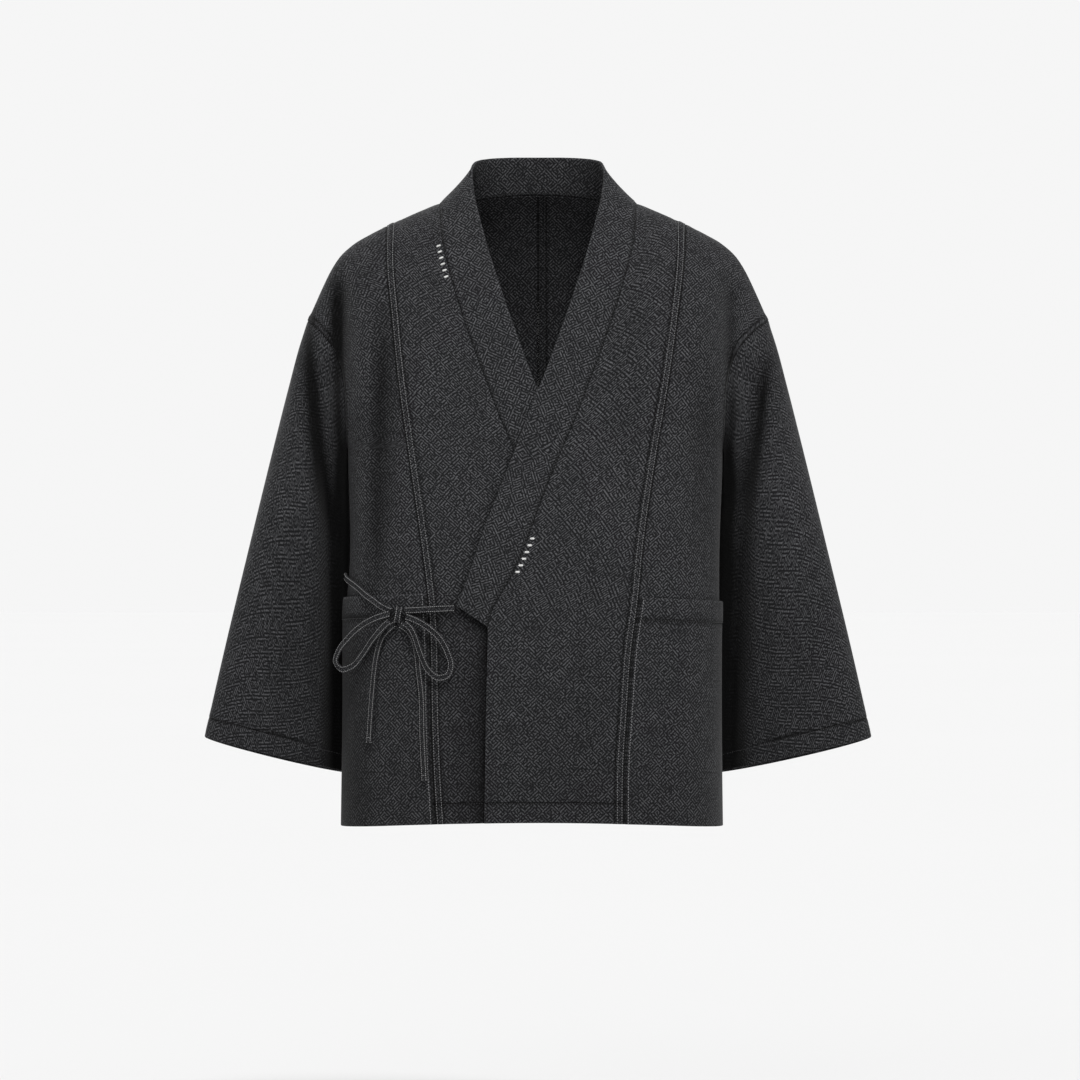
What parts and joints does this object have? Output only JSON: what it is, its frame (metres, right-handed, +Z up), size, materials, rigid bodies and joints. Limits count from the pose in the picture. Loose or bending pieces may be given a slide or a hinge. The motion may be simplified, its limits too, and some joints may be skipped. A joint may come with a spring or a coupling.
{
  "type": "wrap-front kimono jacket, filled out as worn with no wearer",
  "caption": "Hollow wrap-front kimono jacket of heavy herringbone cloth with a crossed collar band, dropped wide sleeves, patch pockets and a side bow.",
  "frame": {"origin": "middle of the neck on the line of the shoulders, where the wearer's shoulders hold the jacket up", "axes": "+Z up the wearer, -Y to the wearer's front, +X to the wearer's left"},
  "size_m": [0.7904, 0.2761, 0.7931],
  "materials": {
    "jacket_cloth": "dull charcoal herringbone weave",
    "tie_cloth": "dull charcoal folded strap"
  },
  "bodies": {
    "root": {"back_left": "jacket_cloth", "back_right": "jacket_cloth", "front_left": "jacket_cloth", "front_left_side": "jacket_cloth", "front_right": "jacket_cloth", "front_right_side": "jacket_cloth", "sleeve_left": "jacket_cloth", "sleeve_right": "jacket_cloth", "pocket_left": "jacket_cloth", "pocket_right": "jacket_cloth", "collar_band": "jacket_cloth", "tie_side_lead": "tie_cloth", "tie_side_loop": "tie_cloth", "tie_side_tail": "tie_cloth", "tie_front_lead": "tie_cloth", "tie_front_loop": "tie_cloth", "tie_front_tail": "tie_cloth", "bow_knot": "tie_cloth"}
  },
  "joints": []
}
